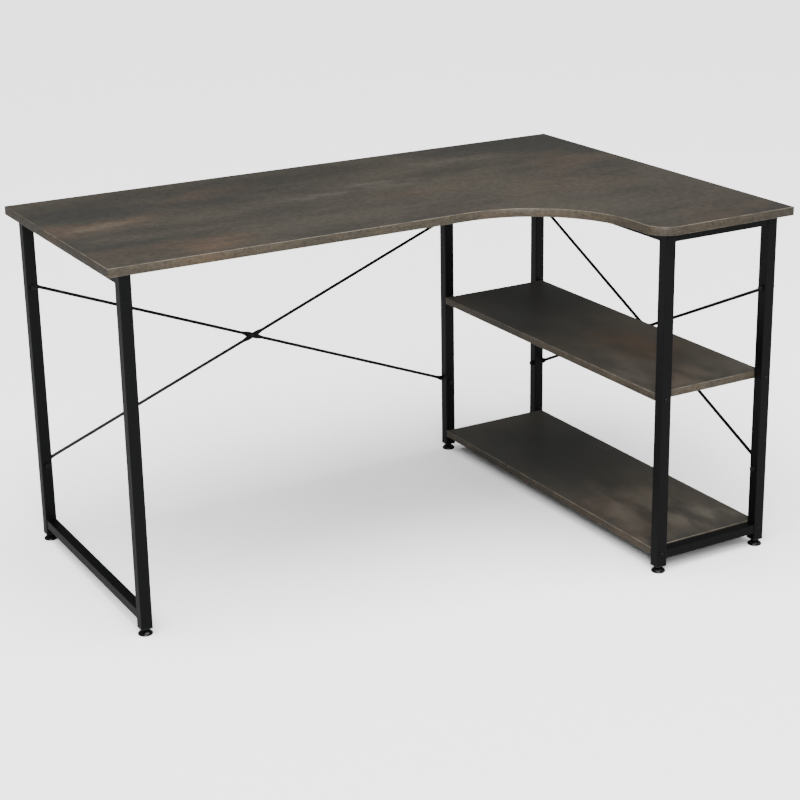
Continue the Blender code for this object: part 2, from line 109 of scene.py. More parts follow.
class Graph:
    """A node tree under construction, with short calls for the nodes used most."""

    def __init__(self, tree: bpy.types.NodeTree) -> None:
        """Takes over a tree and empties it.

        Args:
            tree: a material's, world's or group's node tree.
        """
        self.tree = tree
        tree.nodes.clear()

    def feed(self, socket: Socket, value: Feed) -> None:
        """Links a socket to another, or sets its plain value.

        Args:
            socket: the input to fill.
            value: an output socket, or a number, colour or vector.
        """
        if isinstance(value, bpy.types.NodeSocket):
            self.tree.links.new(value, socket)
        else:
            socket.default_value = value

    def add(self, kind: str, inputs: dict | None = None, **settings: object) -> bpy.types.Node:
        """Adds a node.

        Args:
            kind: the node's Blender type name.
            inputs: what fills its inputs, by name or number.
            settings: the node's own properties.

        Returns:
            The new node.
        """
        node = self.tree.nodes.new(kind)
        for name, value in settings.items():
            setattr(node, name, value)
        for key, value in (inputs or {}).items():
            self.feed(node.inputs[key], value)
        return node

    def math(self, operation: str, first: Feed, second: Feed, clamp: bool = False) -> Socket:
        """Adds a Math node and returns its value."""
        inputs = {0: first, 1: second}
        return self.add("ShaderNodeMath", inputs, operation=operation, use_clamp=clamp).outputs[0]

    def share(self, value: Feed) -> Socket:
        """Holds a value between 0 and 1."""
        return self.math("ADD", value, 0.0, clamp=True)

    def vector(self, operation: str, first: Feed, second: Feed) -> Socket:
        """Adds a Vector Math node and returns its vector."""
        node = self.add("ShaderNodeVectorMath", {0: first, 1: second}, operation=operation)
        return node.outputs["Vector"]

    def blend(self, share: Feed, first: Feed, second: Feed, how: str = "MIX") -> Socket:
        """Mixes two colours.

        Args:
            share: how much of the second colour.
            first: the colour at 0.
            second: the colour at 1.
            how: the mix's blend type.

        Returns:
            The mixed colour.
        """
        node = self.add(
            "ShaderNodeMix", {0: share, 6: first, 7: second}, data_type="RGBA", blend_type=how
        )
        return node.outputs[2]

    def times(self, first: Feed, second: Feed) -> Socket:
        """Multiplies two colours."""
        return self.blend(1.0, first, second, "MULTIPLY")

    def grey(self, value: Feed) -> Socket:
        """Turns a number into a grey."""
        return self.add("ShaderNodeCombineColor", {0: value, 1: value, 2: value}).outputs[0]

    def random(self, least: Feed, most: Feed, seed: Feed) -> Socket:
        """Adds a Random Value node and returns its number, from least to most."""
        inputs = {2: least, 3: most, "Seed": seed}
        return self.add("FunctionNodeRandomValue", inputs, data_type="FLOAT").outputs[1]

    def noise(self, vector: Feed, scale: Feed, detail: float = 3.0, rough: float = 0.5) -> Socket:
        """Adds a Noise Texture and returns its factor."""
        inputs = {"Vector": vector, "Scale": scale, "Detail": detail, "Roughness": rough}
        return self.add("ShaderNodeTexNoise", inputs).outputs[0]

    def remap(
        self, value: Feed, low: float, high: float, first: float = 0.0, last: float = 1.0
    ) -> Socket:
        """Turns low to high into first to last, smoothly, and holds it there outside.

        Args:
            value: the value to turn.
            low: where the range starts.
            high: where the range ends.
            first: the result at low.
            last: the result at high.

        Returns:
            The new value.
        """
        ends = {"From Min": low, "From Max": high, "To Min": first, "To Max": last}
        inputs = {"Value": value, **ends}
        node = self.add("ShaderNodeMapRange", inputs, interpolation_type="SMOOTHSTEP")
        return node.outputs["Result"]

    def stretched(self, vector: Feed, scale: tuple, shift: tuple = (0, 0, 0)) -> Socket:
        """Scales and shifts a pattern's coordinates."""
        inputs = {"Vector": vector, "Scale": scale, "Location": shift}
        return self.add("ShaderNodeMapping", inputs).outputs[0]

    def place(self) -> Socket:
        """The point's own place on the desk, in metres."""
        return self.add("ShaderNodeTexCoord").outputs["Object"]

    def effect(self, group: bpy.types.NodeTree, inputs: dict) -> bpy.types.Node:
        """Places a shared effect.

        Args:
            group: the effect's node group.
            inputs: what fills its inputs, by name.

        Returns:
            The group node.
        """
        return self.add("ShaderNodeGroup", inputs, node_tree=group)

    def swept(self, curve: Socket, radius: Socket, corners: int) -> Socket:
        """Sweeps a round profile along a curve and caps its ends.

        Args:
            curve: the curve to follow.
            radius: the profile's radius.
            corners: how many corners the profile has.

        Returns:
            The swept mesh.
        """
        ring = {"Resolution": corners, "Radius": radius}
        profile = self.add("GeometryNodeCurvePrimitiveCircle", ring).outputs[0]
        inputs = {"Curve": curve, "Profile Curve": profile, "Fill Caps": True}
        return self.add("GeometryNodeCurveToMesh", inputs).outputs[0]

    def surface(self, inputs: dict, height: Socket | None = None, depth: float = 0.0) -> None:
        """Ends a material in one Principled BSDF.

        Args:
            inputs: what fills the shader's sockets.
            height: the relief from 0 to 1, if it has any.
            depth: the relief's depth in metres.
        """
        if height is not None:
            bump = {"Height": height, "Distance": depth, "Strength": 1.0}
            inputs = {**inputs, "Normal": self.add("ShaderNodeBump", bump).outputs[0]}
        shader = self.add("ShaderNodeBsdfPrincipled", inputs)
        self.add("ShaderNodeOutputMaterial", {"Surface": shader.outputs[0]})


def new_group(name: str, kind: str, inputs: dict, outputs: dict) -> tuple:
    """Makes an empty node group with named sockets.

    Args:
        name: the group's name.
        kind: its tree type.
        inputs: each input's socket type and plain value, by name.
        outputs: each output's socket type, by name.

    Returns:
        Its graph, the outputs of its input node, and its output node.
    """
    tree = bpy.data.node_groups.new(name, kind)
    for label, (socket_type, value) in inputs.items():
        socket = tree.interface.new_socket(label, in_out="INPUT", socket_type=socket_type)
        if value is not None:
            socket.default_value = value
    for label, socket_type in outputs.items():
        tree.interface.new_socket(label, in_out="OUTPUT", socket_type=socket_type)
    graph = Graph(tree)
    start = graph.add("NodeGroupInput")
    end = graph.add("NodeGroupOutput")
    return graph, start.outputs, end


@dataclass(frozen=True)
class PrintColours:
    """The inks of the boards' weathered-iron print."""

    slate: tuple = (0.066, 0.064, 0.057, 1)
    umber: tuple = (0.110, 0.096, 0.077, 1)
    rust: tuple = (0.198, 0.130, 0.086, 1)
    pale: tuple = (0.215, 0.193, 0.157, 1)
    deep: tuple = (0.042, 0.042, 0.039, 1)


@dataclass(frozen=True)
class Effects:
    """The shader node groups that several finishes share, each built once."""

    colours: PrintColours = PrintColours()

    @cached_property
    def cloud(self) -> bpy.types.NodeTree:
        """One soft-edged cloud: 1 at its centre, 0 outside its reach.

        Returns:
            The node group.
        """
        inputs = {
            "Vector": ("NodeSocketVector", (0, 0, 0)),
            "Centre": ("NodeSocketVector", (0, 0, 0)),
            "Reach": ("NodeSocketVector", (0.1, 0.1, 0.1)),
            "Strength": ("NodeSocketFloat", 1.0),
        }
        outputs = {"Mask": "NodeSocketFloat"}
        graph, start, end = new_group("Print And Painted Light Cloud", "ShaderNodeTree", inputs, outputs)
        away = graph.vector("SUBTRACT", start["Vector"], start["Centre"])
        shares = graph.vector("DIVIDE", away, start["Reach"])
        length = graph.add("ShaderNodeVectorMath", {0: shares}, operation="LENGTH").outputs["Value"]
        mask = graph.remap(length, 0.15, 1.35, 1.0, 0.0)
        graph.feed(end.inputs["Mask"], graph.math("MULTIPLY", mask, start["Strength"]))
        return graph.tree

    @cached_property
    def iron_print(self) -> bpy.types.NodeTree:
        """The weathered-iron print: slate and umber drifts, rust, pale wipes, mottle and grain; on
        the shelves its Slate clouds also carry painted shade and its Pale clouds painted light.

        Returns:
            The node group.
        """
        inputs = {"Vector": ("NodeSocketVector", (0, 0, 0))}
        inputs.update({cloud_tone.value: ("NodeSocketFloat", 0.0) for cloud_tone in CloudTone})
        outputs = {
            "Color": "NodeSocketColor",
            "Sheen Mask": "NodeSocketFloat",
            "Height": "NodeSocketFloat",
        }
        graph, start, end = new_group("Iron Print", "ShaderNodeTree", inputs, outputs)
        ink = self.colours
        place = start["Vector"]
        drift = graph.noise(graph.stretched(place, (2.2, 4.8, 4.8), (3.1, 0.4, 0.0)), 1.0, 4, 0.45)
        streak = graph.noise(graph.stretched(place, (8, 24, 24)), 1.0, 3, 0.5)
        stained = graph.noise(graph.stretched(place, (2.3, 7, 7), (9.7, 5.2, 1.3)), 1.0, 5, 0.6)
        mottle = graph.noise(place, 75, 4, 0.62)
        grain = graph.noise(graph.stretched(place, (260, 620, 620)), 1.0, 3, 0.6)

        def mixed(first: Socket, second: Socket, part: float) -> Socket:
            """Adds two patterns, the first at its part and the second at the rest."""
            rest = graph.math("MULTIPLY", second, 1 - part)
            return graph.math("ADD", graph.math("MULTIPLY", first, part), rest)

        tone = mixed(streak, drift, 0.20)
        colour = graph.blend(graph.remap(tone, 0.36, 0.62), ink.slate, ink.umber)
        rust = graph.math("MULTIPLY", start["Rust"], graph.remap(streak, 0.30, 0.62, 0.55, 1.0))
        old_rust = graph.remap(stained, 0.55, 0.78, 0, 0.26)
        colour = graph.blend(graph.math("ADD", old_rust, rust, clamp=True), colour, ink.rust)
        # Pale wipes: print, and on the shelves' fronts also painted light.
        pale_wipe_and_painted_light = graph.math("MULTIPLY", start["Pale"], graph.remap(streak, 0.36, 0.58, 0.15, 1.0))
        colour = graph.blend(graph.share(pale_wipe_and_painted_light), colour, ink.pale)
        colour = graph.blend(graph.share(start["Slate"]), colour, ink.deep)
        speckle = graph.remap(mottle, 0.3, 0.7, -0.11, 0.11)
        shade = graph.math("ADD", speckle, graph.remap(grain, 0.3, 0.7, 0.95, 1.05))
        graph.feed(end.inputs["Color"], graph.times(colour, graph.grey(shade)))
        graph.feed(end.inputs["Sheen Mask"], mixed(mottle, tone, 0.5))
        graph.feed(end.inputs["Height"], mixed(grain, mottle, 0.6))
        return graph.tree

    @cached_property
    def fine_wear(self) -> bpy.types.NodeTree:
        """Specks of dust and rubbed places: a mask, and a relief that goes with it.

        Returns:
            The node group.
        """
        inputs = {
            "Vector": ("NodeSocketVector", (0, 0, 0)),
            "Scale": ("NodeSocketFloat", 60.0),
            "Amount": ("NodeSocketFloat", 0.3),
        }
        outputs = {"Mask": "NodeSocketFloat", "Height": "NodeSocketFloat"}
        graph, start, end = new_group("Fine Wear", "ShaderNodeTree", inputs, outputs)
        broad = graph.noise(start["Vector"], 7, 3)
        fine = graph.noise(start["Vector"], start["Scale"], 5.0, 0.7)
        both = graph.math("MULTIPLY", graph.remap(broad, 0.35, 0.75), graph.remap(fine, 0.5, 0.78))
        graph.feed(end.inputs["Mask"], graph.math("MULTIPLY", both, start["Amount"], clamp=True))
        graph.feed(end.inputs["Height"], fine)
        return graph.tree

    @cached_property
    def orange_peel(self) -> bpy.types.NodeTree:
        """The pebbled skin of powder coat or moulded plastic, as a relief and as painted shade that
        keeps its hollows darker than its crests.

        Returns:
            The node group.
        """
        inputs = {
            "Vector": ("NodeSocketVector", (0, 0, 0)),
            "Scale": ("NodeSocketFloat", 900.0),
        }
        outputs = {"Height": "NodeSocketFloat", "Shade": "NodeSocketFloat"}
        graph, start, end = new_group("Orange Peel", "ShaderNodeTree", inputs, outputs)
        place = {"Vector": start["Vector"], "Scale": start["Scale"]}
        pebble = graph.noise(start["Vector"], start["Scale"], 2.0)
        cell = graph.add("ShaderNodeTexVoronoi", place, feature="SMOOTH_F1").outputs[0]
        pebbles = graph.math("MULTIPLY", pebble, 0.6)
        height = graph.math("ADD", pebbles, graph.math("MULTIPLY", cell, 0.4))
        graph.feed(end.inputs["Height"], height)
        # Painted shade: the relief's height, given as a colour share.
        graph.feed(end.inputs["Shade"], graph.remap(height, 0.25, 0.75, 0.0, 1.0))
        return graph.tree

    def worn(self, graph: Graph, scale: float, amount: float) -> bpy.types.Node:
        """Places the fine wear on a finish.

        Args:
            graph: the finish's graph.
            scale: the scale of its specks.
            amount: how strong it is.

        Returns:
            The wear's group node.
        """
        inputs = {"Vector": graph.place(), "Scale": scale, "Amount": amount}
        return graph.effect(self.fine_wear, inputs)


# ---------------------------------------------------------------- finishes


def new_material(name: str) -> tuple:
    """Makes a material.

    Args:
        name: the material's name.

    Returns:
        The material and its empty graph.
    """
    material = bpy.data.materials.new(name)
    material.use_nodes = True
    return material, Graph(material.node_tree)


@dataclass(frozen=True)
class Cloud:
    """One cloud on a board, in the desk's plan; most are print, and some shelf clouds are painted
    shade and painted light.
    """

    cloud_tone: CloudTone
    centre: tuple
    reach: tuple
    strength: float = 1.0


@dataclass(frozen=True)
class Laminate:
    """A board's printed face: satin melamine with its own clouds."""

    name: str
    clouds: tuple
    level: float
    effects: Effects
    turn: float = 0.0
    dust: tuple = (0.16, 0.15, 0.14, 1)
    roughness: tuple = (0.40, 0.56)
    grain_depth: float = 0.06 * MM
    swirl_reach: tuple = (0.30, 0.14, 0.0)

    def printed(self, graph: Graph) -> bpy.types.Node:
        """Places the print with this board's clouds.

        Args:
            graph: the material's graph.

        Returns:
            The print's group node.
        """
        place = graph.place()
        swirl = graph.add("ShaderNodeTexNoise", {"Vector": place, "Scale": 6.5, "Detail": 4.0})
        sway = graph.vector("SUBTRACT", swirl.outputs["Color"], (0.5, 0.5, 0.5))
        bent = graph.vector("ADD", place, graph.vector("MULTIPLY", sway, self.swirl_reach))
        facing = {"Vector": place, "Rotation": (0, 0, self.turn)}
        inputs = {"Vector": graph.add("ShaderNodeMapping", facing).outputs[0]}
        for cloud in self.clouds:
            shape = {
                "Vector": bent,
                "Centre": (*cloud.centre, self.level),
                "Reach": (*cloud.reach, 1.0),
                "Strength": cloud.strength,
            }
            mask = graph.effect(self.effects.cloud, shape).outputs["Mask"]
            key = cloud.cloud_tone.value
            inputs[key] = graph.math("ADD", inputs[key], mask) if key in inputs else mask
        return graph.effect(self.effects.iron_print, inputs)

    def make(self) -> bpy.types.Material:
        """Builds the face's material.

        Returns:
            The finish's material.
        """
        material, graph = new_material(self.name)
        printed = self.printed(graph)
        low, high = self.roughness
        wear = self.effects.worn(graph, 120.0, 0.12)
        colour = graph.blend(wear.outputs["Mask"], printed.outputs["Color"], self.dust)
        graph.surface(
            {
                "Base Color": colour,
                "Roughness": graph.remap(printed.outputs["Sheen Mask"], 0.35, 0.65, low, high),
                "IOR": 1.45,
            },
            printed.outputs["Height"],
            self.grain_depth,
        )
        return material


@dataclass(frozen=True)
class EdgeTape:
    """The printed tape round a board's edge, browner than its face, with faint drawn lines."""

    face: Laminate
    tint: tuple = (0.98, 0.91, 0.79, 1)
    brown: tuple = (0.150, 0.112, 0.074, 1)
    drawn: tuple = (0.165, 0.150, 0.128, 1)
    line_depth: float = 0.04 * MM

    def make(self) -> bpy.types.Material:
        """Builds the tape's material.

        Returns:
            The finish's material.
        """
        material, graph = new_material(self.face.name + "_tape")
        printed = self.face.printed(graph)
        along = graph.add("ShaderNodeUVMap", uv_map="Along").outputs[0]
        lines = graph.noise(graph.stretched(along, (14, 900, 1)), 1.0, 3, 0.6)
        blots = graph.noise(graph.stretched(along, (24, 60, 1)), 1.0, 4, 0.6)
        specks = graph.noise(graph.stretched(along, (130, 190, 1)), 1.0, 3, 0.65)
        colour = graph.times(printed.outputs["Color"], self.tint)
        colour = graph.blend(graph.remap(blots, 0.45, 0.72, 0, 0.5), colour, self.brown)
        colour = graph.blend(graph.remap(lines, 0.50, 0.75, 0, 0.35), colour, self.drawn)
        colour = graph.times(colour, graph.grey(graph.remap(specks, 0.3, 0.7, 0.76, 1.22)))
        satin = graph.remap(blots, 0.3, 0.7, 0.36, 0.52)
        inputs = {"Base Color": colour, "Roughness": satin, "IOR": 1.46}
        graph.surface(inputs, lines, self.line_depth)
        return material


@dataclass(frozen=True)
class TapeArris:
    """The trimmed corner of the edge tape, painted pale as a thin line of painted highlight along
    the board's edges; its rubbed places take the same pale colour.
    """

    name: str
    effects: Effects
    # Painted highlight: the pale colour of the arris line, also used where the tape is rubbed.
    painted_highlight_and_core: tuple = (0.27, 0.24, 0.19, 1)
    scuffed: tuple = (0.115, 0.10, 0.08, 1)
    scuff_depth: float = 0.03 * MM

    def make(self) -> bpy.types.Material:
        """Builds the arris's material.

        Returns:
            The finish's material.
        """
        material, graph = new_material(self.name)
        along = graph.add("ShaderNodeUVMap", uv_map="Along").outputs[0]
        blots = graph.noise(graph.stretched(along, (34, 10, 1)), 1.0, 4, 0.65)
        wear = self.effects.worn(graph, 240.0, 0.5)
        # The arris is painted pale as a highlight, broken by darker scuffed blots, and rubbed
        # places go pale too.
        colour = graph.blend(graph.remap(blots, 0.40, 0.66), self.painted_highlight_and_core, self.scuffed)
        colour = graph.blend(wear.outputs["Mask"], colour, self.painted_highlight_and_core)
        inputs = {"Base Color": colour, "Roughness": graph.remap(blots, 0.3, 0.7, 0.4, 0.6)}
        graph.surface(inputs, wear.outputs["Height"], self.scuff_depth)
        return material


@dataclass(frozen=True)
class BackingSheet:
    """The plain dark backing paper on a board's underside, with its pressed fibre texture."""

    effects: Effects
    paper: tuple = (0.052, 0.044, 0.038, 1)
    fibre: tuple = (0.082, 0.070, 0.060, 1)
    dust: tuple = (0.13, 0.12, 0.11, 1)
    fibre_depth: float = 0.05 * MM

    def make(self) -> bpy.types.Material:
        """Builds the backing's material.

        Returns:
            The finish's material.
        """
        material, graph = new_material("backing_sheet")
        fibres = graph.noise(graph.stretched(graph.place(), (160, 700, 160)), 1.0, 4, 0.65)
        wear = self.effects.worn(graph, 90.0, 0.3)
        colour = graph.blend(graph.remap(fibres, 0.35, 0.7), self.paper, self.fibre)
        colour = graph.blend(wear.outputs["Mask"], colour, self.dust)
        inputs = {"Base Color": colour, "Roughness": graph.remap(fibres, 0.3, 0.7, 0.62, 0.78)}
        graph.surface(inputs, fibres, self.fibre_depth)
        return material


@dataclass(frozen=True)
class Coating:
    """A black coating with a pebbled skin, for tubes and rods."""

    name: str
    effects: Effects
    black: tuple = (0.0032, 0.0034, 0.0037, 1)
    dust: tuple = (0.022, 0.022, 0.022, 1)
    roughness: tuple = (0.30, 0.42)
    peel_scale: float = 850.0
    peel_depth: float = 0.04 * MM
    painted_peel_shade: float = 0.06
    wear: float = 0.35

    def make(self) -> bpy.types.Material:
        """Builds the coating's material.

        Returns:
            The finish's material.
        """
        material, graph = new_material(self.name)
        skin = {"Vector": graph.place(), "Scale": self.peel_scale}
        peel = graph.effect(self.effects.orange_peel, skin)
        wear = self.effects.worn(graph, 180.0, self.wear)
        # Painted shade on the pebbles: their crests move toward the dust colour while their hollows
        # stay black.
        shade = graph.math("MULTIPLY", peel.outputs["Shade"], self.painted_peel_shade)
        paler = graph.math("ADD", wear.outputs["Mask"], shade, clamp=True)
        low, high = self.roughness
        graph.surface(
            {
                "Base Color": graph.blend(paler, self.black, self.dust),
                "Roughness": graph.remap(wear.outputs["Height"], 0.35, 0.7, low, high),
                "IOR": 1.36,
            },
            peel.outputs["Height"],
            self.peel_depth,
        )
        return material


@dataclass(frozen=True)
class BlackZinc:
    """Black zinc plate on screws, bolts and nuts: a dark metal with rubbed, brighter places."""

    effects: Effects
    plate: tuple = (0.020, 0.020, 0.022, 1)
    rubbed: tuple = (0.085, 0.082, 0.080, 1)
    brush_depth: float = 0.015 * MM

    def make(self) -> bpy.types.Material:
        """Builds the plate's material.

        Returns:
            The finish's material.
        """
        material, graph = new_material("black_zinc")
        wear = self.effects.worn(graph, 900.0, 0.8)
        brushed = graph.noise(graph.stretched(graph.place(), (500, 500, 3000)), 1.0, 3, 0.6)
        graph.surface(
            {
                "Base Color": graph.blend(wear.outputs["Mask"], self.plate, self.rubbed),
                "Metallic": graph.remap(wear.outputs["Mask"], 0.0, 0.6, 0.55, 0.9),
                "Roughness": graph.remap(brushed, 0.3, 0.7, 0.30, 0.46),
            },
            brushed,
            self.brush_depth,
        )
        return material


@dataclass(frozen=True)
class MouldedPlastic:
    """Glossy black moulded plastic, with faint flow marks and dust."""

    effects: Effects
    black: tuple = (0.0065, 0.0065, 0.0070, 1)
    dust: tuple = (0.05, 0.05, 0.048, 1)
    flow_depth: float = 0.02 * MM

    def make(self) -> bpy.types.Material:
        """Builds the plastic's material.

        Returns:
            The finish's material.
        """
        material, graph = new_material("black_plastic")
        flow = graph.noise(graph.place(), 260, 3, 0.55)
        wear = self.effects.worn(graph, 500.0, 0.4)
        graph.surface(
            {
                "Base Color": graph.blend(wear.outputs["Mask"], self.black, self.dust),
                "Roughness": graph.remap(flow, 0.35, 0.65, 0.09, 0.16),
                "IOR": 1.5,
                "Coat Weight": 0.3,
                "Coat Roughness": 0.1,
            },
            flow,
            self.flow_depth,
        )
        return material


# ---------------------------------------------------------------- meshes


def add_piece(
    name: str, mesh: bpy.types.Mesh, materials: list, body: str = DESK
) -> bpy.types.Object:
    """Adds a finished piece and lets it ride on its body.

    Args:
        name: the piece's name.
        mesh: its mesh, in place.
        materials: its materials, in slot order.
        body: the CAD body that it moves with.

    Returns:
        The piece.
    """
    piece = bpy.data.objects.new(name, mesh)
    bpy.context.scene.collection.objects.link(piece)
    if mesh.materials:
        mesh.materials.clear()
    for material in materials:
        mesh.materials.append(material)
    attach(piece, body)
    return piece


def mesh_of(form: bmesh.types.BMesh, name: str, sharp: float | None = None) -> bpy.types.Mesh:
    """Turns a bmesh into a mesh and frees it.

    Args:
        form: the shape.
        name: the mesh's name.
        sharp: shades it smooth where faces meet at less than this angle, if given.

    Returns:
        The mesh.
    """
    mesh = bpy.data.meshes.new(name)
    form.to_mesh(mesh)
    form.free()
    if sharp is not None:
        mesh.shade_smooth()
        mesh.set_sharp_from_angle(angle=sharp)
    return mesh


def dress(node: str, material: bpy.types.Material) -> None:
    """Gives a CAD node its finish.

    Args:
        node: the CAD node.
        material: its new material.
    """
    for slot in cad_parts[node].material_slots:
        slot.material = material


def run_of(node: str) -> tuple:
    """The way a rail runs.

    Args:
        node: the rail's CAD node.

    Returns:
        Its box's corners, and the number of the axis that it runs along.
    """
    low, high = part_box(node)
    return low, high, 0 if high.x - low.x > high.y - low.y else 1


def plan_of(node: str) -> list:
    """Walks once round a CAD board's top face.

    Args:
        node: the board's CAD node.

    Returns:
        The outline's corners in plan, counter-clockwise.
    """
    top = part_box(node)[1].z
    form = bmesh.new()
    form.from_mesh(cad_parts[node].data)
    bmesh.ops.remove_doubles(form, verts=form.verts, dist=SAME_PLACE)
    faces = {f for f in form.faces if all(abs(v.co.z - top) < SAME_PLACE for v in f.verts)}
    rim = [e for e in form.edges if sum(f in faces for f in e.link_faces) == 1]
    after = {}
    for edge in rim:
        face = next(f for f in edge.link_faces if f in faces)
        loop = next(item for item in face.loops if item.edge == edge)
        after[loop.vert] = loop.link_loop_next.vert
    corner = rim[0].verts[0]
    points = []
    while len(points) < len(rim):
        points.append(corner.co.xy.copy())
        corner = after[corner]
    form.free()
    return points


def inset(points: list, distance: float) -> list:
    """Moves a counter-clockwise outline inwards.

    Args:
        points: the outline's corners in plan.
        distance: how far each side moves.

    Returns:
        The new corners, in the same order.
    """
    moved = []
    for index, point in enumerate(points):
        before = (point - points[index - 1]).normalized()
        after = (points[(index + 1) % len(points)] - point).normalized()
        first = Vector((-before.y, before.x))
        second = Vector((-after.y, after.x))
        moved.append(point + (first + second) * (distance / (1 + first.dot(second))))
    return moved


def section_reach(section: Section, angle: float) -> float:
    """How far a ring reaches at an angle, as a share of its largest radius.

    Args:
        section: the ring's shape.
        angle: the angle in radians.

    Returns:
        The share.
    """
    if section is Section.HEXAGON:
        return math.cos(math.pi / 6) / math.cos(angle % (math.pi / 3) - math.pi / 6)
    if section is Section.CROSS:
        arm = (angle + math.pi / 4) % (math.pi / 2) - math.pi / 4
        if abs(math.tan(arm)) < CROSS_HALF_WIDTH:
            return 1 / math.cos(arm)
        return CROSS_HALF_WIDTH / abs(math.sin(arm))
    return 1.0


def turned(name: str, rings: list, sides: int, foot: Vector = Vector((0, 0, 0))) -> bpy.types.Mesh:
    """Makes a closed piece from rings stacked along Z; a ring of no radius is a pole.

    Args:
        name: the mesh's name.
        rings: each ring's radius, height and, if it isn't round, section.
        sides: how many corners a ring has.
        foot: where the piece's origin goes.

    Returns:
        The mesh.
    """
    form = bmesh.new()
    built = []
    for radius, height, *shape in rings:
        section = shape[0] if shape else Section.ROUND
        count = sides if radius > 0 else 1
        ring = []
        for step in range(count):
            angle = 2 * math.pi * step / sides
            reach = radius * section_reach(section, angle)
            corner = Vector((reach * math.cos(angle), reach * math.sin(angle), height))
            ring.append(form.verts.new(foot + corner))
        built.append(ring)
    for low, high in zip(built, built[1:]):
        for step in range(sides):
            turns = ((low, step), (low, step + 1), (high, step + 1), (high, step))
            corners = list(dict.fromkeys(ring[place % len(ring)] for ring, place in turns))
            if len(corners) > 2:
                form.faces.new(corners)
    bmesh.ops.recalc_face_normals(form, faces=form.faces)
    return mesh_of(form, name, TURNED_SHARP)


def baked(
    name: str, mesh: bpy.types.Mesh, tree: bpy.types.NodeTree, inputs: dict
) -> bpy.types.Mesh:
    """Runs a Geometry Nodes tree on a mesh and keeps the result as a plain mesh.

    Args:
        name: the result's name.
        mesh: what the tree starts from.
        tree: the Geometry Nodes tree.
        inputs: the modifier's inputs, by the socket's name.

    Returns:
        The result.
    """
    holder = bpy.data.objects.new(name + "_start", mesh)
    bpy.context.scene.collection.objects.link(holder)
    modifier = holder.modifiers.new("Shape", "NODES")
    modifier.node_group = tree
    for item in tree.interface.items_tree:
        if item.item_type == "SOCKET" and item.in_out == "INPUT" and item.name in inputs:
            modifier[item.identifier] = inputs[item.name]
    bpy.context.view_layer.update()
    depsgraph = bpy.context.evaluated_depsgraph_get()
    result = bpy.data.meshes.new_from_object(holder.evaluated_get(depsgraph), depsgraph=depsgraph)
    result.name = name
    holder.modifiers.clear()
    bpy.data.objects.remove(holder)
    return result


def new_shaper(name: str, sizes: dict) -> tuple:
    """Starts a Geometry Nodes tree that takes a mesh, its sizes and a finish.

    Args:
        name: the tree's name.
        sizes: each further input's socket type and plain value, by name.

    Returns:
        Its graph, the outputs of its input node, and its output node.
    """
    inputs = {"Geometry": ("NodeSocketGeometry", None), **sizes}
    inputs["Finish"] = ("NodeSocketMaterial", None)
    return new_group(name, "GeometryNodeTree", inputs, {"Geometry": "NodeSocketGeometry"})


def end_shaper(graph: Graph, geometry: Socket, finish: Socket, end: bpy.types.Node) -> None:
    """Ends a Geometry Nodes tree in Realize Instances and Set Material.

    Args:
        graph: the tree's graph.
        geometry: what it has made.
        finish: the material of it all.
        end: the tree's output node.
    """
    real = graph.add("GeometryNodeRealizeInstances", {"Geometry": geometry}).outputs[0]
    dressed = graph.add("GeometryNodeSetMaterial", {"Geometry": real, "Material": finish})
    graph.feed(end.inputs[0], dressed.outputs[0])


